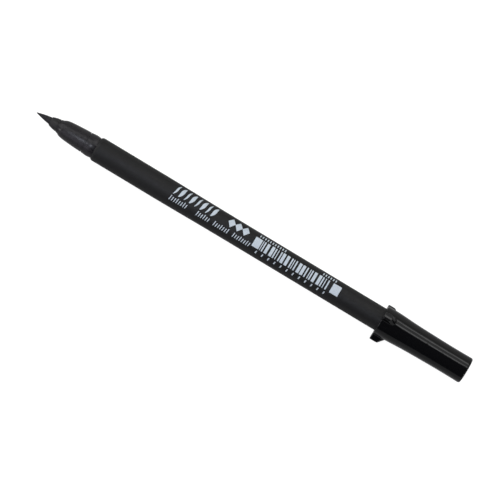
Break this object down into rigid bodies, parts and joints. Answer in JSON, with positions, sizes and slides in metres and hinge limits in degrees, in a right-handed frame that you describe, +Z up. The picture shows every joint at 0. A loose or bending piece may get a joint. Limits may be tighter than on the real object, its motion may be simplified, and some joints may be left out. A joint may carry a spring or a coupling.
{
  "type": "calligraphy marker",
  "caption": "Slim black brush marker with a pointed fibre nib, a tapered front section and a glossy lugged cap posted on its rear end.",
  "frame": {"origin": "under the middle of the pen's whole length, on the surface that it lies on", "axes": "+X along the pen towards the closed end of the cap, with the nib at -X, and +Z up through the cap's top lug"},
  "size_m": [0.1508, 0.0124, 0.0114],
  "materials": {
    "nib_fibre": "ink-soaked bonded fibre",
    "holder_plastic": "satin moulded",
    "section_plastic": "semi-gloss moulded",
    "barrel_plastic": "fine matte",
    "wick_fibre": "ink-soaked wick",
    "film": "thin clear film",
    "cap_plastic": "high gloss moulded",
    "liner_plastic": "natural moulded"
  },
  "bodies": {
    "pen": {"nib_stem": "nib_fibre", "nib_holder": "holder_plastic", "front_section": "section_plastic", "collar_ring": "section_plastic", "barrel": "barrel_plastic", "tail_plug": "barrel_plastic", "ink_reservoir": "wick_fibre", "reservoir_wrap": "film"},
    "brush": {"brush_point": "nib_fibre"},
    "cap": {"cap_shell": "cap_plastic", "cap_liner": "liner_plastic"}
  },
  "joints": [
    {"name": "cap_pull", "type": "slide", "parent": "pen", "child": "cap", "axis": [1, 0, 0], "range_m": [0, 0.03]},
    {"name": "brush_bend", "type": "hinge", "parent": "pen", "child": "brush", "pos_m": [-0.07045, 0, 0.00471], "axis": [0, 1, 0], "range_deg": [-20, 20], "stiffness_Nm_per_rad": 0.005}
  ]
}
